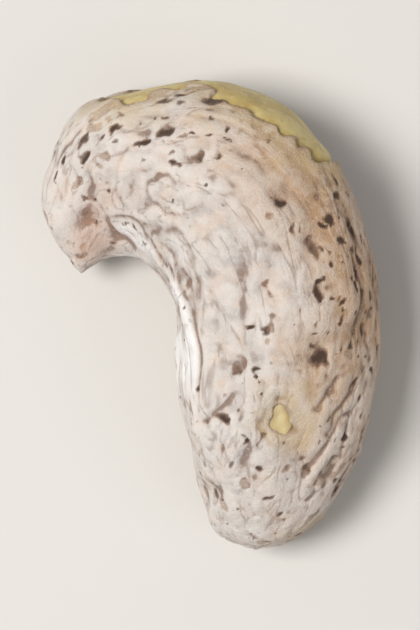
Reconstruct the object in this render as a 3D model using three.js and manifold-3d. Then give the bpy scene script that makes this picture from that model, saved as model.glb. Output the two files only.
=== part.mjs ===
// A roasted cashew nut in its skin: one kidney-shaped seed, lying on its side as it rests on a table.
//
// The seed is a thick arm bent round an open notch. One end is blunt and carries a small pointed beak on
// the notch side, where the germ sits; the other end is round and plain. The papery skin is wrinkled along
// the arm and pitted, stands up in a thin rim round the notch, and has flaked off in a few places.
//
// Frame: +Z up, +Y towards the crown of the bend, +X towards the back of the seed.
// Origin: on the resting plane, under the middle of the overall box. Units: millimetres and radians.

import * as THREE from "three";
import { ImprovedNoise } from "three/addons/math/ImprovedNoise.js";
import { mergeVertices } from "three/addons/utils/BufferGeometryUtils.js";
import Module from "manifold-3d";

const { smoothstep } = THREE.MathUtils;

// ---------------------------------------------------------------- driving dimensions

const LENGTH = 25; // overall, along Y
const BREADTH = 18; // overall, along X, from the blunt end to the back
const THICKNESS = 11; // overall, along Z, lying on its side

// The outline in plan, measured from the middle of the overall box: two curves that start together at the
// point of the beak, on the notch side of the blunt end, and meet again at the tip of the round end.
const BACK_OUTLINE = [
  [-6.9, 1.6],
  [-7.9, 3.2],
  [-8.9, 5.1],
  [-8.7, 7.4],
  [-6.9, 10.6],
  [-3.3, 12.1],
  [0.6, 12.4],
  [5, 10.3],
  [8, 5.6],
  [9, -0.4],
  [8.3, -6.5],
  [6.1, -10.8],
  [4.2, -12.1],
  [2.3, -12.5],
];
const NOTCH_OUTLINE = [
  [-6.9, 1.6],
  [-6.2, 2.4],
  [-4.9, 2.9],
  [-3.2, 2.4],
  [-1.8, 0.6],
  [-1.5, -2.1],
  [-1.3, -5],
  [-0.8, -8.8],
  [0.3, -11.6],
  [2.3, -12.5],
];

// The arm's section: how thick it is where it is widest, and how it fills out from an ellipse.
const WIDEST = { width: 11.2, thickness: 10.4 };
const SECTION = {
  bluntness: 0.78, // below 1 the ends stay thick closer to their tips
  power: 2.25, // 2 is an ellipse, and above it the broad sides flatten
  backFullness: 0.1, // how much thicker the back is than the notch side
  endLevel: 3.7, // how high the middle of each end lies
};
const MESH = { rings: 87, sides: 66 }; // from tip to tip, and round the arm

// ---------------------------------------------------------------- crease, rim and seam

// The crease over the germ is a line in plan, on the upper side. Angles go round the section from the back.
const CREASE = { from: [-7, 2.8], to: [-6.2, 6.2], depth: 0.35, width: 0.6 };
const RIM = { angle: 2.46, height: 0.34, width: 0.18, from: 0.16, to: 0.76, fade: 0.11 }; // along the notch
const SEAM = { depth: 0.24, width: 0.09 }; // along the back, where the two halves meet

// ---------------------------------------------------------------- relief of the skin

const SWELL = { size: 6.5, height: 0.34 }; // broad lumps and hollows
const WRINKLE = { along: 6, across: 1.6, height: 0.3 }; // folds that run along the arm
const PITS = { count: 44, long: [0.7, 1.2], wide: [0.45, 0.65], depth: [0.25, 0.45], turn: 0.8, seed: 11 };
const PIT_REACH = 2.5; // no pit is felt further off than this many of its half lengths
const CALM_TIPS = [0.02, 0.12]; // shares of the arm's run over which the relief fades in from each tip

// The pits that show on the upper side: place in plan, half length, and turn about +Z.
const UPPER_PITS = [
  [5.8, -2.1, 1.15, 0.9],
  [0.1, 11.1, 0.8, -0.6],
  [-2.3, 9.5, 0.8, 0.5],
  [-3.3, 9, 0.6, 0],
  [-0.6, 8.1, 0.7, 0.9],
  [5.3, 3.4, 0.8, 1.3],
  [5.5, 1, 0.8, 0.4],
  [1.5, -2.8, 0.8, 0.2],
  [0.8, -5.4, 0.9, 1],
  [0.3, -9.4, 0.8, 0],
  [5, -8, 0.9, 1.1],
  [7.6, 2, 0.9, 1.5],
  [7.9, -0.9, 0.9, 1.4],
  [3.6, 5.7, 0.8, 0.9],
];
const UPPER_PIT = { wide: 0.5, depth: 0.45 };

// Places where the skin has come off: an ellipsoid's centre and half sizes, and its turn about +Z.
const SKIN_STEP = 0.38; // how far the skin stands above the bare kernel
const KERNEL_RELIEF = 0.25; // the share of the skin's relief that the bare kernel shows
const TORN_EDGE = { ragged: 0.2, blur: 0.2 }; // both as shares of a patch's half size
const BARE_PATCHES = [
  { at: [3.3, 10.9, 6.2], half: [5.2, 2, 4.1], turn: -0.52 },
  { at: [-3.3, 12.3, 5.8], half: [2.7, 1.25, 3], turn: 0.18 },
  { at: [3.6, -5.6, 10], half: [0.65, 1.2, 2.5], turn: -0.2 },
  { at: [4.6, -9.4, 2.4], half: [2.8, 2, 2.1], turn: 0.9 },
  { at: [8.2, -3.2, 3], half: [1.4, 2.6, 1.5], turn: 0.14 },
];

// ---------------------------------------------------------------- resting points

const LOW_POINTS = 3; // the underside touches near both ends and under the bend
const FLOOR_LIFT = 0.5; // how far the underside rises between them
const FLOOR_FLAT = 0.3; // how much of each is pressed flat
const FLOOR_CALM = 0.75; // the share of the relief that the resting side lacks
const FACING_DOWN = [0.6, 0.95]; // how squarely the surface faces down where that calm sets in

const UP = new THREE.Vector3(0, 0, 1);
const perlin = new ImprovedNoise();

/** A repeatable stream of numbers from 0 to 1. */
function randomStream(seed) {
  let state = seed >>> 0;
  return () => {
    state = (state + 0x6d2b79f5) >>> 0;
    let t = Math.imul(state ^ (state >>> 15), 1 | state);
    t = (t + Math.imul(t ^ (t >>> 7), 61 | t)) ^ t;
    return ((t ^ (t >>> 14)) >>> 0) / 2 ** 32;
  };
}

/** Smooth noise in two octaves, about -1.4 to 1.4. */
function noise(x, y, z) {
  return perlin.noise(x, y, z) + 0.45 * perlin.noise(2.1 * x + 9.2, 2.1 * y, 2.1 * z);
}

/** A cosine or sine raised so that its circle becomes a superellipse. */
function squared(value, power) {
  return Math.sign(value) * Math.abs(value) ** (2 / power);
}

/** A bump of height 1 and the given half width. */
function bump(distance, width) {
  return Math.exp(-((distance / width) ** 2));
}

/** The larger of two lengths, blended where they are close. */
function softMaximum(a, b) {
  const hardness = 8;
  return (a ** hardness + b ** hardness) ** (1 / hardness);
}

/** The height of the underside above the resting plane, at a share of the arm's run. */
function underside(share) {
  const wave = Math.cos(2 * Math.PI * (LOW_POINTS * share - 0.5));
  return (FLOOR_LIFT * (1 - wave)) / 2;
}

/** Evenly spaced points of a smooth curve in plan. */
function planPoints(outline) {
  const curve = new THREE.CatmullRomCurve3(outline.map(([x, y]) => new THREE.Vector3(x, y, 0)));
  return curve.getSpacedPoints(MESH.rings);
}

/** The rings of the arm from tip to tip: centre, outward direction in plan, half sizes and distance run. */
function armRings() {
  const notch = planPoints(NOTCH_OUTLINE);
  const rings = planPoints(BACK_OUTLINE).map((outer, i) => {
    const across = outer.clone().sub(notch[i]);
    const width = across.length() / 2;
    const thick = (WIDEST.thickness / 2) * ((2 * width) / WIDEST.width) ** SECTION.bluntness;
    const centre = outer.clone().add(notch[i]).divideScalar(2);
    centre.setZ(softMaximum(thick, SECTION.endLevel));
    return { centre, outward: across.normalize(), width, thick };
  });
  rings.reduce((run, ring, i) => {
    ring.run = i === 0 ? 0 : run + ring.centre.distanceTo(rings[i - 1].centre);
    return ring.run;
  }, 0);
  const total = rings.at(-1).run;
  for (const ring of rings) {
    ring.share = ring.run / total;
    ring.centre.z += underside(ring.share);
  }
  return rings;
}

/** The smooth arm: its vertices, each with its place along and round the arm, and its triangles. */
function smoothArm(rings) {
  const { sides } = MESH;
  const vertices = [];
  const add = (ring, angle) => {
    const across = ring.width * squared(Math.cos(angle), SECTION.power);
    const fuller = 1 + SECTION.backFullness * Math.cos(angle);
    const up = ring.thick * squared(Math.sin(angle), SECTION.power) * fuller;
    const point = ring.centre.clone().addScaledVector(ring.outward, across).addScaledVector(UP, up);
    vertices.push({ point, run: ring.run, share: ring.share, angle, across, up, girth: ring.width });
  };
  const triangles = [];
  const lastRing = rings.length - 1;
  rings.forEach((ring, i) => {
    const count = i === 0 || i === lastRing ? 1 : sides;
    for (let j = 0; j < count; j += 1) add(ring, (j / sides) * 2 * Math.PI);
  });
  const first = (i) => 1 + (i - 1) * sides; // of ring i's vertices
  const farTip = vertices.length - 1;
  for (let j = 0; j < sides; j += 1) {
    const k = (j + 1) % sides;
    triangles.push(0, first(1) + k, first(1) + j);
    triangles.push(farTip, first(lastRing - 1) + j, first(lastRing - 1) + k);
    for (let i = 1; i < lastRing - 1; i += 1) {
      const [a, b] = [first(i) + j, first(i) + k];
      const [c, d] = [first(i + 1) + j, first(i + 1) + k];
      triangles.push(a, b, c, b, d, c);
    }
  }
  return { vertices, triangles };
}

/** Indexed triangles as a three.js geometry with normals. */
function geometryOf(points, triangles) {
  const geometry = new THREE.BufferGeometry().setFromPoints(points);
  geometry.setIndex(triangles);
  geometry.computeVertexNormals();
  return geometry;
}

/** Small hollows scattered over the skin, each longer along the arm than across it. */
function scatterPits(vertices) {
  const random = randomStream(PITS.seed);
  const between = ([low, high]) => low + (high - low) * random();
  return Array.from({ length: PITS.count }, () => ({
    place: vertices[Math.floor(random() * vertices.length)],
    long: between(PITS.long),
    wide: between(PITS.wide),
    depth: between(PITS.depth),
    turn: between([-PITS.turn, PITS.turn]),
  }));
}

/** How deep a long hollow is at a place given from its middle. */
function hollow(dx, dy, { long, wide, depth, turn }) {
  const u = dx * Math.cos(turn) + dy * Math.sin(turn);
  const v = dy * Math.cos(turn) - dx * Math.sin(turn);
  return depth * bump(Math.hypot(u / long, v / wide), 1);
}

/** How deep the pits are at a vertex. */
function pitDepth(vertex, pits) {
  let depth = 0;
  for (const [x, y, long, turn] of vertex.up > 0 ? UPPER_PITS : []) {
    depth = Math.max(depth, hollow(vertex.point.x - x, vertex.point.y - y, { ...UPPER_PIT, long, turn }));
  }
  for (const pit of pits) {
    if (vertex.point.distanceTo(pit.place.point) > PIT_REACH * pit.long) continue;
    const along = vertex.run - pit.place.run;
    const round = Math.sin(vertex.angle - pit.place.angle) * vertex.girth;
    depth = Math.max(depth, hollow(along, round, pit));
  }
  return depth;
}

/** The uneven line of a torn edge: waves that cross each other, about -1 to 1. */
function raggedness({ x, y, z }) {
  return (
    0.5 * Math.sin(1.9 * x + 0.7 * y + 2.3 * z) +
    0.3 * Math.sin(-1.1 * x + 2.7 * y - 0.9 * z + 1.3) +
    0.2 * Math.sin(3.1 * x - 2.2 * y + 4.1 * z + 0.4)
  );
}

/** 1 where the skin has flaked off, 0 where it is whole, and between the two on the torn edge. */
function bareness(point) {
  const ragged = TORN_EDGE.ragged * raggedness(point);
  return Math.max(
    ...BARE_PATCHES.map((patch) => {
      const local = point
        .clone()
        .sub(new THREE.Vector3(...patch.at))
        .applyAxisAngle(UP, -patch.turn)
        .divide(new THREE.Vector3(...patch.half));
      return 1 - smoothstep(local.length() + ragged, 1 - TORN_EDGE.blur, 1 + TORN_EDGE.blur);
    }),
  );
}

/** How far the skin's surface stands out from the smooth arm at a vertex. */
function relief(vertex, normal, pits) {
  const { point, run, share, angle, across, up } = vertex;
  const fromTips = smoothstep(Math.min(share, 1 - share), ...CALM_TIPS);
  const swell = SWELL.height * noise(...point.clone().divideScalar(SWELL.size).toArray());
  const fold = noise(run / WRINKLE.along, across / WRINKLE.across, up / WRINKLE.across + 40);
  const uneven = (WRINKLE.height * fold - pitDepth(vertex, pits)) * fromTips;
  const fadeIn = smoothstep(share, RIM.from, RIM.from + RIM.fade);
  const fadeOut = smoothstep(-share, -RIM.to, RIM.fade - RIM.to);
  const rim = RIM.height * bump(angle - RIM.angle, RIM.width) * fadeIn * fadeOut;
  const seam = SEAM.depth * bump(Math.sin(angle / 2), SEAM.width) * fromTips;
  const line = new THREE.Line3(new THREE.Vector3(...CREASE.from, 0), new THREE.Vector3(...CREASE.to, 0));
  const inPlan = point.clone().setZ(0);
  const away = line.closestPointToPoint(inPlan, true, new THREE.Vector3()).distanceTo(inPlan);
  const crease = CREASE.depth * bump(away, CREASE.width) * Math.max(0, normal.z);
  const bare = bareness(point);
  const skin = uneven + rim - seam - crease;
  const calm = 1 - FLOOR_CALM * smoothstep(-normal.z, ...FACING_DOWN);
  return calm * (swell + (1 - (1 - KERNEL_RELIEF) * bare) * skin - SKIN_STEP * bare);
}

/** The whole seed before it is set down. */
function seedGeometry() {
  const { vertices, triangles } = smoothArm(armRings());
  const points = vertices.map((v) => v.point);
  const normals = geometryOf(points, triangles).getAttribute("normal");
  const pits = scatterPits(vertices);
  const raised = vertices.map((vertex, i) => {
    const normal = new THREE.Vector3().fromBufferAttribute(normals, i);
    return vertex.point.clone().addScaledVector(normal, relief(vertex, normal, pits));
  });
  return geometryOf(raised, triangles);
}

/** A closed geometry as a manifold-3d solid, and back. */
function solidFrom(wasm, geometry) {
  const bare = geometry.clone().deleteAttribute("normal").deleteAttribute("uv");
  const merged = mergeVertices(bare, 1e-4);
  return new wasm.Manifold(
    new wasm.Mesh({
      numProp: 3,
      vertProperties: merged.getAttribute("position").array,
      triVerts: new Uint32Array(merged.index.array),
    }),
  );
}

function geometryFrom(solid) {
  const mesh = solid.getMesh();
  const geometry = new THREE.BufferGeometry();
  geometry.setAttribute("position", new THREE.BufferAttribute(mesh.vertProperties, 3));
  geometry.setIndex(new THREE.BufferAttribute(mesh.triVerts, 1));
  return geometry;
}

/** Presses the low points flat, brings the seed to its overall size and stands it on the origin. */
function setDown(wasm, geometry) {
  geometry.computeBoundingBox();
  const floor = new THREE.BoxGeometry(2 * LENGTH, 2 * LENGTH, LENGTH);
  floor.translate(0, 0, geometry.boundingBox.min.z + FLOOR_FLAT - LENGTH / 2);
  const flat = geometryFrom(solidFrom(wasm, geometry).subtract(solidFrom(wasm, floor)));
  flat.computeBoundingBox();
  const box = flat.boundingBox;
  const middle = box.getCenter(new THREE.Vector3());
  const extent = box.getSize(new THREE.Vector3());
  flat.translate(-middle.x, -middle.y, -box.min.z);
  flat.scale(BREADTH / extent.x, LENGTH / extent.y, THICKNESS / extent.z);
  flat.computeVertexNormals();
  return flat;
}

const wasm = await Module();
wasm.setup();

const skin = new THREE.MeshStandardMaterial({ color: 0xcec1b7, roughness: 0.85, metalness: 0 });
const nut = new THREE.Mesh(setDown(wasm, seedGeometry()), skin);
nut.name = "cashew_nut";

const part = new THREE.Group();
part.add(nut);

export default part;
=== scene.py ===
import math
import random

import bpy
import numpy as np
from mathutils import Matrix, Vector, kdtree, noise


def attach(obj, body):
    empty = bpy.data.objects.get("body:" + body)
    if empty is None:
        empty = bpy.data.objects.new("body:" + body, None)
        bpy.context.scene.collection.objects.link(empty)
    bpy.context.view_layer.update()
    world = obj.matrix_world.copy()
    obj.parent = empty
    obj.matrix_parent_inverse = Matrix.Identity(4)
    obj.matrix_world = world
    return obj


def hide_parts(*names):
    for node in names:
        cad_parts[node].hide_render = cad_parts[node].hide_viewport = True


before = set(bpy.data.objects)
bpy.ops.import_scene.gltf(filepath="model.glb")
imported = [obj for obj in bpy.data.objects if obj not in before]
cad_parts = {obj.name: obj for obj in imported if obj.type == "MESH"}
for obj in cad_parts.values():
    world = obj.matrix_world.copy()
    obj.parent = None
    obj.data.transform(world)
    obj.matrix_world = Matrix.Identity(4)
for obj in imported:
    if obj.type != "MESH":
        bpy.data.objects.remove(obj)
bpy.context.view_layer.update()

# ---------------------------------------------------------------- kernel
# The kernel is the seed itself: two hard, oily halves pressed together round a germ, ivory
# yellow when raw and a little toasted by roasting. It fills the skin, and shows only where the
# skin has flaked off.

MM = 0.001
SKIN_DEPTH = 0.32  # mm, how far the kernel lies under the skin's surface

KERNEL_GRID = 0.36 * MM
KERNEL_SMOOTHING = 30  # rounds, enough to leave none of the skin's folds

# Where the skin has come off: an ellipsoid's centre, half sizes and turn about +Z, as in the solid.
BARE_PATCHES = (
    ((3.3, 10.9, 6.2), (5.2, 2, 4.1), -0.52),
    ((-3.3, 12.3, 5.8), (2.7, 1.25, 3), 0.18),
    ((3.6, -5.6, 10), (0.65, 1.2, 2.5), -0.2),
    ((4.6, -9.4, 2.4), (2.8, 2, 2.1), 0.9),
    ((8.2, -3.2, 3), (1.4, 2.6, 1.5), 0.14),
)
RAGGED = 0.2  # how uneven a patch's edge is, as a share of its half size, as in the solid
BLUR = 0.2  # the share over which the solid's dip fades out, inside and outside that edge


def fine_body(name, grid, smoothing):
    """A finely meshed copy of the nut's solid, with its facets smoothed away."""
    piece = bpy.data.objects.new(name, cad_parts["cashew_nut"].data.copy())
    bpy.context.scene.collection.objects.link(piece)
    piece.data.materials.clear()
    remesh = piece.modifiers.new("grid", "REMESH")
    remesh.mode = "VOXEL"
    remesh.voxel_size = grid
    smooth = piece.modifiers.new("smooth", "SMOOTH")
    smooth.factor = 0.5
    smooth.iterations = smoothing
    finer = piece.modifiers.new("finer", "SUBSURF")
    finer.levels = 1
    evaluated = piece.evaluated_get(bpy.context.evaluated_depsgraph_get())
    mesh = bpy.data.meshes.new_from_object(evaluated)
    piece.modifiers.clear()
    piece.data = mesh
    mesh.name = name
    mesh.shade_smooth()
    return piece


def vectors(data, attribute):
    """That attribute of a mesh's vertices, three numbers to a row."""
    values = np.empty(len(data) * 3, np.float32)
    data.foreach_get(attribute, values)
    return values.reshape(-1, 3).astype(float)


def smoothstep(value, low, high):
    share = np.clip((value - low) / (high - low), 0, 1)
    return share * share * (3 - 2 * share)


def bump_at(distance, half_width):
    return np.exp(-((distance / half_width) ** 2))


def spot(points, middle, half_width):
    """1 at a place, falling to 0 round it."""
    return bump_at(np.linalg.norm(points - middle, axis=1), half_width)


def grain(points, size):
    """Smooth noise, about -1 to 1, at points in mm, with lumps of that size or sizes in mm."""
    return np.array([noise.noise(Vector(p)) for p in points / size])


def raggedness(points):
    """The uneven line of a torn edge: waves that cross each other, about -1 to 1."""
    x, y, z = points.T
    return (
        0.5 * np.sin(1.9 * x + 0.7 * y + 2.3 * z)
        + 0.3 * np.sin(-1.1 * x + 2.7 * y - 0.9 * z + 1.3)
        + 0.2 * np.sin(3.1 * x - 2.2 * y + 4.1 * z + 0.4)
    )


def patch_distances(points, ragged):
    """For each bare patch, the distance from its middle as a share of its half size."""
    for middle, half, turn in BARE_PATCHES:
        x, y, z = (points - middle).T
        along = x * math.cos(turn) + y * math.sin(turn)
        across = y * math.cos(turn) - x * math.sin(turn)
        yield np.linalg.norm(np.stack([along, across, z]).T / half, axis=1) + ragged


def bareness(points):
    """1 in the middle of the bare patches, 0 under whole skin."""
    distances = patch_distances(points, RAGGED * raggedness(points))
    return np.max([1 - smoothstep(d, 1 - BLUR, 1 + BLUR) for d in distances], axis=0)


def move_out(piece, distance):
    """Moves each vertex out along its normal by that many mm, never below the resting plane."""
    mesh = piece.data
    places = vectors(mesh.vertices, "co")
    places += vectors(mesh.vertices, "normal") * distance[:, None] * MM
    places[:, 2] = np.maximum(places[:, 2], 0)
    mesh.vertices.foreach_set("co", places.astype(np.float32).ravel())
    mesh.update()


kernel = fine_body("kernel", KERNEL_GRID, KERNEL_SMOOTHING)
kernel_points = vectors(kernel.data.vertices, "co") / MM
KERNEL_WAVES = (0.05, 1.6)  # height and grain in mm
UPPER_SPOT = ((3.6, -5.6, 10.5), 2.2)  # the small bare place on top: its middle and half width
SPOT_HOLLOW = 0.14  # mm, so that the kernel doesn't stand proud of the skin there
upper_spot = spot(kernel_points, *UPPER_SPOT)
buried = SKIN_DEPTH * (1 - bareness(kernel_points)) + SPOT_HOLLOW * upper_spot
move_out(kernel, KERNEL_WAVES[0] * grain(kernel_points, KERNEL_WAVES[1]) - buried)


def linear(code):
    """An sRGB hex colour as linear RGBA."""
    shares = [int(code[i : i + 2], 16) / 255 for i in (1, 3, 5)]
    return (*[s / 12.92 if s <= 0.04045 else ((s + 0.055) / 1.055) ** 2.4 for s in shares], 1)


def new_material(name):
    made = bpy.data.materials.new(name)
    made.use_nodes = True
    made.node_tree.nodes.clear()
    return made, made.node_tree


def node(tree, kind, settings=None, **inputs):
    """Adds a node with its settings and inputs, and links the inputs that are sockets.

    An input is given by its name, or as _ and its number.
    """
    added = tree.nodes.new(kind)
    for name, value in (settings or {}).items():
        setattr(added, name, value)
    for name, value in inputs.items():
        key = int(name[1:]) if name[0] == "_" else name.replace("_", " ")
        if isinstance(value, bpy.types.NodeSocket):
            tree.links.new(value, added.inputs[key])
        else:
            added.inputs[key].default_value = value
    return added


def lay(tree, colour, coats):
    """Lays coats over a colour, each on the last, and gives the socket of the colour that shows.

    A coat says what it follows, the two values of that between which it comes up, its greatest
    share and its colour. It follows a number kept at the mesh's points, by name, or any socket, or
    the grain of the stuff, given as its size in mm, detail, roughness and warp and laid out by the
    material's own place.
    """
    for follows, (low, high), most, shade in coats:
        if isinstance(follows, str):
            kept = node(tree, "ShaderNodeAttribute", {"attribute_name": follows})
            follows = kept.outputs["Fac"]
        elif isinstance(follows, tuple):
            size, *kind = follows
            grains = dict(zip(("Detail", "Roughness", "Distortion"), kind))
            texture = node(
                tree, "ShaderNodeTexNoise", Vector=place, Scale=1 / (size * MM), **grains
            )
            follows = texture.outputs["Fac"]
        # A share from 0 to 1 is taken as it is, and anything else comes up with soft ends.
        ramp = {"interpolation_type": "LINEAR" if (low, high) == (0, 1) else "SMOOTHSTEP"}
        ends = {"From_Min": low, "From_Max": high, "To_Max": most}
        share = node(tree, "ShaderNodeMapRange", ramp, Value=follows, **ends)
        under, over = (linear(c) if isinstance(c, str) else c for c in (colour, shade))
        laid = node(
            tree,
            "ShaderNodeMix",
            {"data_type": "RGBA"},
            Factor=share.outputs["Result"],
            _6=under,
            _7=over,
        )
        colour = laid.outputs[2]
    return colour


# Roasted cashew kernel: a dense waxy solid that light enters a little way, so its shine is soft
# and its shadows are warm. Its yellow runs to a toasted tan where shreds of the skin's inner film
# still cling.
KERNEL_IOR = 1.47
KERNEL_ROUGHNESS = 0.46
KERNEL_GLOW_DEPTH = 0.5 * MM
KERNEL_GRIT = 0.05 * MM  # height of its fine grain

roasted_kernel, tree = new_material("roasted_cashew_kernel")
place = node(tree, "ShaderNodeTexCoord").outputs["Object"]
KERNEL_COATS = (
    ((2.4, 2, 0.5, 0), (0.38, 0.62), 1, "#BEA765"),  # broad clouds of a deeper ivory
    ((0.5, 4, 0.5, 0), (0.5, 0.75), 0.5, "#DDD2A2"),  # pale starch
    ((0.9, 5, 0.65, 0), (0.5, 0.68), 0.6, "#AB8C4E"),  # toasting
    ((0.3, 4, 0.6, 0), (0.63, 0.7), 0.6, "#8F6C43"),  # toasted specks
    ("powdered", (0, 1), 0.6, "#DFD5B8"),  # the skin's pale powder on the small bare place
    ("film", (0, 1), 1, "#9C7B4C"),  # shreds of the inner film along the tear
)
kernel_grain = node(
    tree, "ShaderNodeTexNoise", Vector=place, Scale=1 / (0.3 * MM), Detail=5, Roughness=0.6
)
grit = node(tree, "ShaderNodeBump", Height=kernel_grain.outputs["Fac"], Distance=KERNEL_GRIT)
waxy = node(
    tree,
    "ShaderNodeBsdfPrincipled",
    Base_Color=lay(tree, "#D2C083", KERNEL_COATS),
    Roughness=KERNEL_ROUGHNESS,
    IOR=KERNEL_IOR,
    Subsurface_Weight=0.25,
    Subsurface_Radius=(1.0, 0.6, 0.25),
    Subsurface_Scale=KERNEL_GLOW_DEPTH,
    Normal=grit.outputs["Normal"],
)
node(tree, "ShaderNodeOutputMaterial", Surface=waxy.outputs["BSDF"])
kernel.data.materials.append(roasted_kernel)

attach(kernel, "root")
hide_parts("cashew_nut")

# ---------------------------------------------------------------- skin
# The skin is the seed's coat, thinner than card. It grew round the kernel, and drying and
# roasting shrank it into folds that run along the seed, cracked it into pits and let it flake
# away in patches.

SKIN_GRID = 0.24 * MM
SKIN_SMOOTHING = 9  # rounds, enough to lose the solid's facets and keep its folds and pits

skin = fine_body("skin", SKIN_GRID, SKIN_SMOOTHING)
smooth_points = vectors(skin.data.vertices, "co") / MM
facing = vectors(skin.data.vertices, "normal")

# The middle of the bent arm in plan, in mm, from the point of the beak to the round end.
MIDDLE_LINE = (
    (-6.9, 1.6),
    (-6.7, 4.6),
    (-5, 6.9),
    (-2.2, 7.4),
    (0.6, 6.7),
    (2.6, 4.4),
    (3.6, 1),
    (3.7, -2),
    (3.6, -5.5),
    (3.1, -8.4),
    (2.3, -12.5),
)
MIDDLE_LEVEL = 5.2
LINE_STEPS = 360
LINE_EASE = 50  # steps over which its corners are rounded
ARM_EASE = 12  # rounds that blend the places in the bend where two parts of the line are as near


def neighbours_mean(piece, values, rounds):
    """Values at the piece's vertices, each taken that many times as its neighbours' mean."""
    mesh = piece.data
    ends = np.empty(len(mesh.edges) * 2, np.int64)
    mesh.edges.foreach_get("vertices", ends)
    one, other = ends.reshape(-1, 2).T
    count = np.bincount(ends, minlength=len(mesh.vertices))
    size = len(count)
    for _ in range(rounds):
        total = [
            np.bincount(one, column[other], size) + np.bincount(other, column[one], size)
            for column in values.T
        ]
        values = np.stack(total, axis=1) / count[:, None]
    return values


def along_the_arm(points):
    """Each point's place in mm along the arm, across it towards the back, and above its middle."""
    corners = np.array(MIDDLE_LINE)
    lengths = np.linalg.norm(np.diff(corners, axis=0), axis=1)
    at = np.concatenate([[0], np.cumsum(lengths)])
    wanted = np.linspace(0, at[-1], LINE_STEPS)
    line = np.stack([np.interp(wanted, at, corners[:, i]) for i in (0, 1)], axis=1)
    padded = np.pad(line, ((LINE_EASE, LINE_EASE), (0, 0)), "reflect", reflect_type="odd")
    window = np.hanning(2 * LINE_EASE + 1)
    window /= window.sum()
    line = np.stack([np.convolve(padded[:, i], window, "valid") for i in (0, 1)], axis=1)
    steps = np.linalg.norm(np.diff(line, axis=0), axis=1)
    run = np.concatenate([[0], np.cumsum(steps)])
    heading = np.gradient(line, axis=0)
    heading /= np.linalg.norm(heading, axis=1)[:, None]
    outward = np.stack([-heading[:, 1], heading[:, 0]], axis=1)
    away = points[:, None, :2] - line[None]
    nearest = (away**2).sum(axis=2).argmin(axis=1)
    offset = away[np.arange(len(points)), nearest]
    ahead = (offset * heading[nearest]).sum(axis=1)
    across = (offset * outward[nearest]).sum(axis=1)
    return np.stack([run[nearest] + ahead, across, points[:, 2] - MIDDLE_LEVEL], axis=1)


arm_points = neighbours_mean(skin, along_the_arm(smooth_points), ARM_EASE)
arm_share = arm_points[:, 0] / arm_points[:, 0].max()
BACK = (0.5, 5.5)  # mm across the arm, from near its middle to its back
toward_back = smoothstep(arm_points[:, 1], *BACK)

NUDGES_APART = (0, 31.7, 67.3)  # takes each axis's nudge from its own part of the noise


def swirl(points, size, reach):
    """Points in mm nudged about, so that what is drawn by them wanders."""
    nudges = [grain(points + apart, size) for apart in NUDGES_APART]
    return points + reach * np.stack(nudges, axis=1)


def patchy(points, mean, spread, size):
    """A strength that comes and goes round its mean, with a grain of that size in mm."""
    return mean + spread * grain(points, size)


# The middle of the upper side is the smoothest part, with shallower creases, less wear and fewer
# pits.
CALM = ((1.6, 4, 10.5), 4.2)  # its middle and half width
CALM_FOLDS, CALM_WEAR, CALM_PITS = 0.6, 0.12, 0.7
calm = spot(smooth_points, *CALM)

# Folds: soft pillows, and between them narrow creases along the arm, each set finer than the last.
WANDERING = (2.6, 0.7)  # how far the folds stray from the arm's own line: grain and reach in mm
PILLOWS = ((6.5, 1.5, 1.5), 0.12)  # grain along, across and through the arm, and height, in mm
LUMPS = ((0.8, 0.04), (0.32, 0.015))  # grain and height in mm
CREASES = (  # grain, the share of a grain that a crease takes, and depth in mm
    ((8, 1.9, 1.9), 0.13, 0.12),
    ((5, 0.95, 0.95), 0.26, 0.05),
)
CREASE_WAVER = (0.9, 0.25)
CREASE_STRENGTH = (0.55, 0.9, 3.1)  # mean, spread and grain
FAINTEST_CREASE = 0.15
SETS_APART = 11.3  # moves each set to its own part of the noise

CRACKS = (  # a few slanting folds on the upper side near the round end: their ends in plan, in mm
    ((5.2, -9.7), (6.5, -7.6)),
    ((4.9, -8.3), (7.1, -5.2)),
    ((6.0, -6.2), (7.6, -3.7)),
    ((5.6, -4.9), (6.7, -3.4)),
)
CRACK_WIDTH = 0.18  # half of it, in mm
CRACK_DEPTH = 0.14
CRACK_WAVER = (0.8, 0.3)


def from_line(points, start, end):
    """How far each point in plan lies from a straight line between two others."""
    start, way = np.array(start), np.subtract(end, start)
    share = np.clip((points - start) @ way / (way @ way), 0, 1)
    return np.linalg.norm(points - start - share[:, None] * way, axis=1)


wandering = swirl(arm_points, *WANDERING)
fold_height = PILLOWS[1] * np.abs(grain(wandering, PILLOWS[0]))
for size, height in LUMPS:
    fold_height += height * grain(smooth_points, size)
strength = patchy(smooth_points, *CREASE_STRENGTH) * (1 - CALM_FOLDS * calm)
strength = np.clip(strength, FAINTEST_CREASE, 1)
for number, (size, width, depth) in enumerate(CREASES):
    wavering = swirl(wandering, *CREASE_WAVER) + SETS_APART * number
    fold_height -= depth * strength * bump_at(grain(wavering, size), width)
wavering = swirl(smooth_points, *CRACK_WAVER)[:, :2]
for start, end in CRACKS:
    crack = bump_at(from_line(wavering, start, end), CRACK_WIDTH) * (facing[:, 2] > 0)
    fold_height -= CRACK_DEPTH * crack

# Wear: in places the powdery outer film has rubbed off and left the browner coat a hair lower.
WORN_GRAIN = (2.6, 0.9, 0.9)
WORN_WAVER = (0.6, 0.25)
WORN_APART = 23.9
WORN_EDGES = (0.45, 0.35)  # the fine grain that breaks up its edges, and how much
WORN_BACK = 0.24  # how much more of it there is at the back
WORN_EDGE = (0.34, 0.64)  # the noise's values where it begins and where it is full
WORN_DEPTH = 0.05  # mm
worn = grain(swirl(wandering, *WORN_WAVER) + WORN_APART, WORN_GRAIN)
worn = worn + WORN_EDGES[1] * grain(smooth_points, WORN_EDGES[0])
worn = smoothstep(worn + WORN_BACK * toward_back - CALM_WEAR * calm, *WORN_EDGE)

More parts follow.
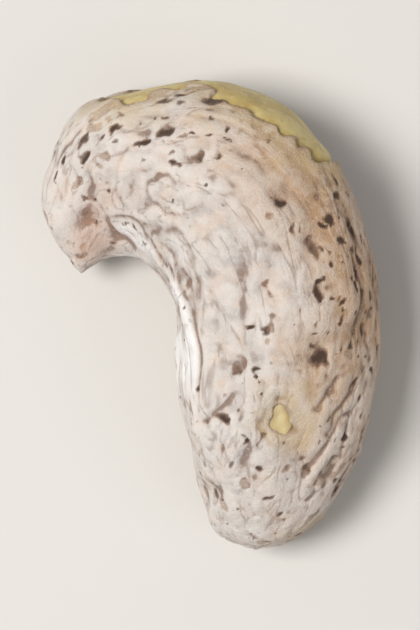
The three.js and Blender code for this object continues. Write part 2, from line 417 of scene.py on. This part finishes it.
# Pits: the deepest are where the solid has them, and smaller ones lie in drifts.
DEEP_PITS = (  # place in plan and radius, in mm
    (5.8, -2.1, 0.5),
    (0.1, 11.1, 0.36),
    (-2.3, 9.5, 0.36),
    (-3.3, 9, 0.28),
    (-0.6, 8.1, 0.32),
    (5.3, 3.4, 0.34),
    (5.5, 1, 0.34),
    (1.5, -2.8, 0.3),
    (0.8, -5.4, 0.36),
    (0.3, -9.4, 0.28),
    (5, -8, 0.32),
    (7.6, 2, 0.3),
    (7.9, -0.9, 0.3),
    (3.6, 5.7, 0.3),
)
LESSER_PITS = (  # most of them on the crown
    (-2.5, 11.1, 0.3),
    (-5, 9.9, 0.26),
    (-6.5, 9.4, 0.24),
    (-6.6, 8.1, 0.26),
    (-6.6, 6.1, 0.24),
    (6.2, 4.9, 0.28),
    (4.2, 4.4, 0.22),
)
SMALL_PITS = 380
SMALL_RADII = (0.1, 0.24)
PIT_DRIFTS = (  # where the small ones gather: middle in plan, and half width
    ((-3.4, 9.6), 2.4),
    ((0, 9.9), 2),
    ((6, 1.8), 3),
    ((5.8, -6.5), 1.8),
)
DRIFT_STRENGTH = 0.8
DRIFT_GRAINS = ((3.4, 1), (1.2, 0.35))  # grain in mm and weight, of the drifts that lie by chance
DRIFT_BACK = 0.25
PIT_CHANCE = (0.2, 0.9)  # pits stray a little from the drifts
PIT_WAVERS = ((0.6, 0.3), (0.25, 0.14))
PIT_LENGTHENING = 1.5  # pits are drawn out along the arm
PIT_WALL = (0.2, 1.3)  # shares of the radius between which a pit's wall rises
PIT_STEEPNESS = 0.3  # depth as a share of radius
PIT_DARKNESS = (0.55, 1)
UPPER_SIDE = 0.2  # how squarely a place must face up to hold one of the pits placed in plan
FAR = 10  # mm, added to the distance of what faces down
LUCK = 23  # starts the random draws, so that every run gives the same nut


def nearest_above(x, y):
    """The vertex of the upper side that is nearest to a place in plan."""
    away = np.linalg.norm(smooth_points[:, :2] - (x, y), axis=1)
    return int((away + FAR * (facing[:, 2] < UPPER_SIDE)).argmin())


luck = random.Random(LUCK)
drifts = sum(weight * grain(smooth_points, size) for size, weight in DRIFT_GRAINS)
drifts = drifts + DRIFT_BACK * toward_back - CALM_PITS * calm
for middle, half_width in PIT_DRIFTS:
    drifts += DRIFT_STRENGTH * spot(smooth_points[:, :2], middle, half_width)
small_pits = []
while len(small_pits) < SMALL_PITS:
    chosen = luck.randrange(len(smooth_points))
    if drifts[chosen] + PIT_CHANCE[0] > PIT_CHANCE[1] * luck.random():
        small_pits.append((chosen, luck.triangular(*SMALL_RADII, SMALL_RADII[0])))
pits = [(nearest_above(x, y), radius) for x, y, radius in DEEP_PITS]
pits += small_pits
pits += [(nearest_above(x, y), radius) for x, y, radius in LESSER_PITS]
pit_points = arm_points
for waver in PIT_WAVERS:
    pit_points = swirl(pit_points, *waver)
pit_points = pit_points / (PIT_LENGTHENING, 1, 1)
pit_depth = np.zeros(len(smooth_points))
pit_darkness = np.zeros(len(smooth_points))
for chosen, radius in pits:
    distance = np.linalg.norm(pit_points - pit_points[chosen], axis=1) / radius
    inside = 1 - smoothstep(distance, *PIT_WALL)
    pit_depth = np.maximum(pit_depth, inside * radius * PIT_STEEPNESS)
    pit_darkness = np.maximum(pit_darkness, inside * luck.uniform(*PIT_DARKNESS))

# Torn edges: the brittle skin breaks away in chips, and the line they leave is a little blunted.
CHIPS = 9000
CHIP_GRAIN = 1.7  # mm, of the places where chips are large
LARGE_CHIPS = 0.2  # the share of chips that are kept there
WANDER = (1.3, 0.14)  # the torn line's bays: grain in mm, and depth as a share of a half size
FRAY = (0.35, 0.07)  # the torn line's finest waver: grain and height in mm
BLUNTING = 5  # rounds, to take the points off the chips' corners
TEAR = (-0.12, 0.04)  # mm from the torn line between which the skin drops away
DROP = 0.65  # mm, enough to leave the skin's surface under the kernel's
SKIN_THICKNESS = 0.14  # mm, how far skin that is left inside a patch stands above the kernel

chips = smooth_points[[luck.randrange(len(smooth_points)) for _ in range(CHIPS)]]
large = grain(chips, CHIP_GRAIN) > 0
chips = chips[~large | (np.array([luck.random() for _ in chips]) < LARGE_CHIPS)]
torn_line = RAGGED * raggedness(chips) + WANDER[1] * grain(chips, WANDER[0])
lost = np.min(list(patch_distances(chips, torn_line)), axis=0) < 1


def to_nearest(points, others):
    """How far each point lies from the nearest of the others."""
    tree = kdtree.KDTree(len(others))
    for number, other in enumerate(others):
        tree.insert(Vector(other), number)
    tree.balance()
    return np.array([tree.find(Vector(p))[2] for p in points])


def from_the_tear(points):
    """How far in mm each point lies outside the torn edge of the nearest bare patch."""
    between_chips = (to_nearest(points, chips[lost]) - to_nearest(points, chips[~lost])) / 2
    return between_chips + FRAY[1] * grain(points, FRAY[0])


tear = neighbours_mean(skin, from_the_tear(smooth_points)[:, None], BLUNTING)[:, 0]
gone = 1 - smoothstep(tear, *TEAR)

# The rim: along the notch the coat stands up in a thin ridge, pale and with a painted highlight
# along it, with a thin groove beside it that is painted in shade.
NOTCH = (-4.4, 1.5)  # in plan, the upper end of the line down its middle
RIM_TURN = 2.58  # how far round from the back its inner edge runs, in radians
RIM_NEARER = 0.24  # radians by which it runs nearer the notch's edge at the bend
BEND = (-0.5, 2.5)  # mm in y over which it comes nearer
RIM_WAVER = (0.08, 2.5)  # radians, and grain in mm
RIM_WIDTH = 0.22  # of its flat crest, in radians
RIM_FALL = 0.17  # over which it falls away on each side
RIM_HEIGHT = 0.1  # mm
RIM_FOLDS = 0.25  # share of the folds' height lost on it
RIM_RISE, RIM_END = (0.04, 0.14), (0.66, 0.84)  # shares of the arm where it comes and dies away
GROOVE_TURN = 0.38  # radians inside the rim
GROOVE_WAVER = (0.08, 1.8)
GROOVE_WIDTH = 0.1
GROOVE_DEPTH = 0.07  # mm

down_notch = np.minimum(smooth_points[:, 1], NOTCH[1])
notch_line = np.stack([np.full_like(down_notch, NOTCH[0]), down_notch], axis=1)
from_notch = smooth_points[:, :2] - notch_line
from_notch /= np.linalg.norm(from_notch, axis=1)[:, None]
turned = np.arctan2(facing[:, 2], (facing[:, :2] * from_notch).sum(axis=1))
rim_turn = RIM_TURN + RIM_NEARER * smoothstep(smooth_points[:, 1], *BEND)
past_edge = turned - rim_turn - RIM_WAVER[0] * grain(arm_points, RIM_WAVER[1])
rim_run = smoothstep(arm_share, *RIM_RISE) * (1 - smoothstep(arm_share, *RIM_END))
off_crest = np.maximum(np.maximum(-past_edge, past_edge - RIM_WIDTH), 0)
rim = bump_at(off_crest, RIM_FALL) * rim_run
off_groove = past_edge + GROOVE_TURN + GROOVE_WAVER[0] * grain(arm_points, GROOVE_WAVER[1])
groove = rim_run * bump_at(off_groove, GROOVE_WIDTH)

# The folds lie flattened where the nut rests, and die away towards a tear.
FACING_DOWN = (0.85, 0.98)
FLATTENED = 0.8
TEAR_REACH = 0.4  # mm
TEAR_CALM = 0.7
resting = smoothstep(-facing[:, 2], *FACING_DOWN)
fold_height = (fold_height - fold_height.mean()) * (1 - FLATTENED * resting)
near_tear = bump_at(np.maximum(tear, 0), TEAR_REACH)
relief = fold_height * (1 - RIM_FOLDS * rim) + RIM_HEIGHT * rim - GROOVE_DEPTH * groove
relief = relief - WORN_DEPTH * worn - pit_depth
standing = SKIN_THICKNESS * bareness(smooth_points)
move_out(skin, relief * (1 - TEAR_CALM * near_tear) + standing - DROP * gone)


def hollowness(piece, rounds):
    """How far in mm each vertex lies below the mean of what is round it."""
    normals = vectors(piece.data.vertices, "normal")
    places = vectors(piece.data.vertices, "co") / MM
    return ((neighbours_mean(piece, places, rounds) - places) * normals).sum(axis=1)


# What the colours follow. A strength that is patchy has its mean, its spread and its grain in mm.
FINE_ROUNDS, BROAD_ROUNDS = 10, 90  # the more rounds, the broader the hollows
BEAK_STAIN = ((-6.2, 4.2), 1.5)  # its middle in plan, and its half width, in mm
STAIN_SHAPE = (0.7, 1.3)  # narrower in x than in y
STAIN_FACING = (0, 0.5)  # it is on the upper side only
# Browner towards the back of the arm: partly the skin's own browning, partly painted shade on the
# back.
BACK_BROWN_AND_SHADE = (-1.1, 3.1)  # mm from the arm's middle towards its back
BROWN_AND_SHADE_WAVER = (1.2, 2.4)  # reach and grain in mm
BROWN_AND_SHADE_RISE, BROWN_AND_SHADE_END = (0.24, 0.46), (0.62, 0.9)  # shares of the arm
BROWN_AND_SHADE_LOSS = 0.65  # how much of it is lost at the round end
BROWN_AND_SHADE_PATCHES = (0.75, 0.5, (5, 1.6, 1.6))
TORN_EDGE = 0.1  # half width of the dark line along a tear, in mm
TORN_PATCHES = (0.5, 0.7, 0.7)
THINNING = (0.0, 1.1)  # mm from a torn edge over which the skin thickens
THINNING_WAVER = (0.5, 0.9)
RIM_PATCHES = (0.88, 0.5, 0.8)
GROOVE_PATCHES = (0.35, 0.7, 1.1)
FILM_EDGE = 0.2
FILM_PATCHES = (0.45, 0.6, 0.8)

off_stain = np.linalg.norm((smooth_points[:, :2] - BEAK_STAIN[0]) / STAIN_SHAPE, axis=1)
stain = bump_at(off_stain, BEAK_STAIN[1]) * smoothstep(facing[:, 2], *STAIN_FACING)
to_back = arm_points[:, 1] + BROWN_AND_SHADE_WAVER[0] * grain(arm_points, BROWN_AND_SHADE_WAVER[1])
along = smoothstep(arm_share, *BROWN_AND_SHADE_RISE)
along = along * (1 - BROWN_AND_SHADE_LOSS * smoothstep(arm_share, *BROWN_AND_SHADE_END))
browned = smoothstep(to_back, *BACK_BROWN_AND_SHADE) * along
browned = browned * patchy(wandering, *BROWN_AND_SHADE_PATCHES)
thinning = tear + THINNING_WAVER[0] * grain(smooth_points, THINNING_WAVER[1])


def store(piece, name, values):
    """Keeps a number or a vector at each of the piece's vertices."""
    kind, field = ("FLOAT", "value") if values.ndim == 1 else ("FLOAT_VECTOR", "vector")
    attribute = piece.data.attributes.new(name, kind, "POINT")
    attribute.data.foreach_set(field, values.astype(np.float32).ravel())


# Hollowness gives the painted shade in the hollows and the painted highlight on the ridges.
store(skin, "fine_hollow", hollowness(skin, FINE_ROUNDS))
store(skin, "broad_hollow", hollowness(skin, BROAD_ROUNDS))
store(skin, "pit", pit_darkness)
store(skin, "arm", arm_points)
store(skin, "torn", bump_at(tear, TORN_EDGE) * patchy(smooth_points, *TORN_PATCHES))
store(skin, "thin", 1 - smoothstep(thinning, *THINNING))
store(skin, "worn", worn)
store(skin, "rim", rim * patchy(smooth_points, *RIM_PATCHES))
store(skin, "rim_groove", groove * patchy(smooth_points, *GROOVE_PATCHES))
store(skin, "stain", stain)
store(skin, "browned", browned)

# Shreds of the skin's inner film cling to the kernel along the tear.
film_points = vectors(kernel.data.vertices, "co") / MM
film = bump_at(from_the_tear(film_points), FILM_EDGE) * patchy(film_points, *FILM_PATCHES)
store(kernel, "film", film)
store(kernel, "powdered", upper_spot)

# Roasted testa: a dry papery seed coat with no shine of its own. Pale powder and a painted
# highlight lie on every fold, painted shade darkens every hollow, and its pits are scorched nearly
# black.
TESTA_IOR = 1.45
TESTA_ROUGHNESS = 0.86
PAPER_GRAIN = 0.1 * MM  # height of its fibres

roasted_testa, tree = new_material("roasted_cashew_testa")
place = node(tree, "ShaderNodeTexCoord").outputs["Object"]

# The edges of the worn places and of the pits are frayed by the grain of the skin.
FRAYED = (  # what is frayed, the grain's size in mm, detail, roughness and strength
    ("worn", 0.22, 4, 0.6, 0.9),
    ("pit", 0.2, 3, 0.5, 0.5),
)
frayed = {}
for name, size, detail, roughness, amount in FRAYED:
    kept = node(tree, "ShaderNodeAttribute", {"attribute_name": name})
    texture = node(
        tree,
        "ShaderNodeTexNoise",
        Vector=place,
        Scale=1 / (size * MM),
        Detail=detail,
        Roughness=roughness,
    )
    added = node(
        tree,
        "ShaderNodeMath",
        {"operation": "MULTIPLY_ADD"},
        _0=texture.outputs["Fac"],
        _1=amount,
        _2=kept.outputs["Fac"],
    )
    frayed[name] = added.outputs["Value"]

# Wrinkles finer than the folds, all running along the seed.
WRINKLE_SIZE = 0.9  # mm across the seed
WRINKLE_SHORTENING = 0.2  # along the seed, so that they run five times as long
WRINKLE_LINES = (1.3, 1.85)  # the ridged noise's value at a line's edge and in its middle
WRINKLE_DEPTH = 0.03 * MM
arm_place = node(tree, "ShaderNodeAttribute", {"attribute_name": "arm"})
drawn_out = node(
    tree,
    "ShaderNodeVectorMath",
    {"operation": "MULTIPLY"},
    _0=arm_place.outputs["Vector"],
    _1=(WRINKLE_SHORTENING, 1, 1),
)
wrinkles = node(
    tree,
    "ShaderNodeTexNoise",
    {"noise_type": "RIDGED_MULTIFRACTAL"},
    Vector=drawn_out.outputs["Vector"],
    Scale=1 / WRINKLE_SIZE,
    Detail=3,
    Roughness=0.6,
    Offset=1.0,
    Distortion=0.4,
).outputs["Fac"]

worn_colour = lay(tree, "#B89C86", [((0.5, 5, 0.65, 0), (0.4, 0.6), 1, "#9A7C66")])
TESTA_COATS = (
    ((3.2, 3, 0.5, 0), (0.36, 0.64), 1, "#C8BEB6"),  # broad clouds of grey
    ((1.3, 4, 0.6, 0), (0.45, 0.65), 0.5, "#D8BFAC"),  # buff
    ((0.8, 4, 0.6, 0.6), (0.5, 0.65), 0.45, "#B4AFAD"),  # ash grey
    # browner and in painted shade towards the back
    ("browned", (0, 1), 0.8, "#B08556"),
    ("fine_hollow", (0, -0.02), 0.4, "#E4DDD6"),  # pale powder and a painted highlight on the ridges
    ("browned", (0, 1), 0.52, "#B58A58"),  # the back's brown and painted shade lie over the pale ridges too, but less
    (frayed["worn"], (0.85, 1.2), 0.6, worn_colour),
    ("broad_hollow", (0.02, 0.2), 0.35, "#8F7260"),  # painted shade in the hollows
    # painted shade in the fine hollows
    ("fine_hollow", (0.003, 0.032), 0.7, "#745745"),
    ("thin", (0, 1), 0.5, "#BFA470"),  # the kernel's yellow through thin skin
    ("stain", (0, 1), 0.45, "#B07A58"),
    # pale rim with a painted highlight along it
    ("rim", (0, 1), 0.86, "#FAF9F8"),
    # painted shade in the groove beside the rim
    ("rim_groove", (0, 1), 1, "#8C7362"),
    ("torn", (0, 1), 1, "#94745A"),
    ((0.13, 2, 0.5, 0), (0.56, 0.7), 0.22, "#EDE8E3"),  # powder caught in the grain
    (wrinkles, WRINKLE_LINES, 0.4, "#7D604D"),
)
testa_colour = lay(tree, "#D6CEC7", TESTA_COATS)

# Fine scorched specks, each at a random place in its own cell, too many to be pits in the mesh.
SPECK_GRIDS = ((0.85, 0.16), (0.45, 0.09))  # the cell in mm, and the largest radius in cells
SPECK_CHANCE = 0.5  # a cell that draws less than this has none
SPECK_LEAST = -0.5  # share of the largest radius that the rest start from, so the least don't show
SPECK_EDGE = (-0.3, 0.4)  # shares of the largest radius over which a speck darkens
SPECK_NUDGE = 0.25 * MM  # how far a speck's outline is pulled about
SPECK_DRIFTS = (3.5, (0.38, 0.56), 0.85)  # grain in mm, the values where they come, and strength
SOFT = {"interpolation_type": "SMOOTHSTEP"}
nudge = node(tree, "ShaderNodeTexNoise", Vector=place, Scale=1 / SPECK_NUDGE)
nudged = node(
    tree,
    "ShaderNodeVectorMath",
    {"operation": "MULTIPLY_ADD"},
    _0=nudge.outputs["Color"],
    _1=(SPECK_NUDGE, SPECK_NUDGE, SPECK_NUDGE),
    _2=place,
)
drift_grain = node(
    tree, "ShaderNodeTexNoise", Vector=place, Scale=1 / (SPECK_DRIFTS[0] * MM)
)
drift = node(
    tree,
    "ShaderNodeMapRange",
    SOFT,
    Value=drift_grain.outputs["Fac"],
    From_Min=SPECK_DRIFTS[1][0],
    From_Max=SPECK_DRIFTS[1][1],
    To_Max=SPECK_DRIFTS[2],
)
for cell, largest in SPECK_GRIDS:
    dots = node(
        tree, "ShaderNodeTexVoronoi", Vector=nudged.outputs["Vector"], Scale=1 / (cell * MM)
    )
    chance = node(tree, "ShaderNodeSeparateColor", Color=dots.outputs["Color"])
    radius = node(
        tree,
        "ShaderNodeMapRange",
        SOFT,
        Value=chance.outputs["Red"],
        From_Min=SPECK_CHANCE,
        To_Min=SPECK_LEAST * largest,
        To_Max=largest,
    )
    inside = node(
        tree,
        "ShaderNodeMath",
        {"operation": "SUBTRACT"},
        _0=radius.outputs["Result"],
        _1=dots.outputs["Distance"],
    )
    edge = tuple(share * largest for share in SPECK_EDGE)
    speck = (inside.outputs["Value"], edge, drift.outputs["Result"], "#4A3528")
    testa_colour = lay(tree, testa_colour, [speck])

PIT_COATS = (
    (frayed["pit"], (0.4, 0.75), 0.6, "#7A5B45"),  # scorched round the pit
    (frayed["pit"], (0.62, 1.1), 0.9, "#3A281E"),  # nearly black in it
)
wrinkled = node(
    tree, "ShaderNodeBump", {"invert": True}, Height=wrinkles, Distance=WRINKLE_DEPTH
)
fibres = node(
    tree, "ShaderNodeTexNoise", Vector=place, Scale=1 / (0.14 * MM), Detail=6, Roughness=0.7
)
paper_grain = node(
    tree,
    "ShaderNodeBump",
    Height=fibres.outputs["Fac"],
    Distance=PAPER_GRAIN,
    Normal=wrinkled.outputs["Normal"],
)
papery = node(
    tree,
    "ShaderNodeBsdfPrincipled",
    Base_Color=lay(tree, testa_colour, PIT_COATS),
    Roughness=TESTA_ROUGHNESS,
    IOR=TESTA_IOR,
    Specular_IOR_Level=0.35,
    Sheen_Weight=0.12,
    Sheen_Roughness=0.6,
    Normal=paper_grain.outputs["Normal"],
)
node(tree, "ShaderNodeOutputMaterial", Surface=papery.outputs["BSDF"])
skin.data.materials.append(roasted_testa)

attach(skin, "root")
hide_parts("cashew_nut")

# ---------------------------------------------------------------- floor
# The nut lies on a plain pale studio board, matte and wide enough to fill every view.
# It isn't part of the nut.

FLOOR_HALF = 0.6
BOARD_ROUGHNESS = 0.9

floor_mesh = bpy.data.meshes.new("floor")
corners = [(-FLOOR_HALF, -FLOOR_HALF, 0), (FLOOR_HALF, -FLOOR_HALF, 0)]
corners += [(FLOOR_HALF, FLOOR_HALF, 0), (-FLOOR_HALF, FLOOR_HALF, 0)]
floor_mesh.from_pydata(corners, [], [(0, 1, 2, 3)])
floor = bpy.data.objects.new("floor", floor_mesh)
bpy.context.scene.collection.objects.link(floor)

# Matte painted board: it takes soft shadows and gives back no shine.
matte_board, tree = new_material("matte_studio_board")
board = node(
    tree, "ShaderNodeBsdfPrincipled", Base_Color=linear("#D2CFCA"), Roughness=BOARD_ROUGHNESS
)
node(tree, "ShaderNodeOutputMaterial", Surface=board.outputs["BSDF"])
floor_mesh.materials.append(matte_board)

# ---------------------------------------------------------------- light
# A large soft lamp above and to the left of the beak models the folds. A weak one opposite and a
# pale room keep the shadows open.

NUT_MIDDLE = Vector((0, 0, 5 * MM))
ROOM_STRENGTH = 0.36


def soft_lamp(name, stand, size, power, colour):
    lamp = bpy.data.lights.new(name, "AREA")
    lamp.size = size
    lamp.energy = power
    lamp.color = linear(colour)[:3]
    holder = bpy.data.objects.new(name, lamp)
    holder.location = stand
    holder.rotation_euler = (Vector(stand) - NUT_MIDDLE).to_track_quat("Z", "Y").to_euler()
    bpy.context.scene.collection.objects.link(holder)


soft_lamp("key", stand=(-0.14, 0.01, 0.3), size=0.12, power=1.07, colour="#FFFDFA")
soft_lamp("fill", stand=(0.25, -0.15, 0.22), size=0.3, power=0.22, colour="#FAFBFF")

room = bpy.data.worlds.new("room")
room.use_nodes = True
background = room.node_tree.nodes["Background"]
background.inputs["Color"].default_value = linear("#F2F2F4")
background.inputs["Strength"].default_value = ROOM_STRENGTH
bpy.context.scene.world = room
bpy.context.scene.view_settings.view_transform = "Standard"

# ---------------------------------------------------------------- camera
# The camera looks straight down on the nut's upper side, from far enough off for a plain view.
# A long lens fills the frame with the nut.

CAMERA_HEIGHT = 190 * MM
LENS = 200
NEAREST = 10 * MM

camera = bpy.data.objects.new("camera", bpy.data.cameras.new("camera"))
camera.data.lens = LENS
camera.data.clip_start = NEAREST
camera.location = (0, 0, CAMERA_HEIGHT)
bpy.context.scene.collection.objects.link(camera)
bpy.context.scene.camera = camera
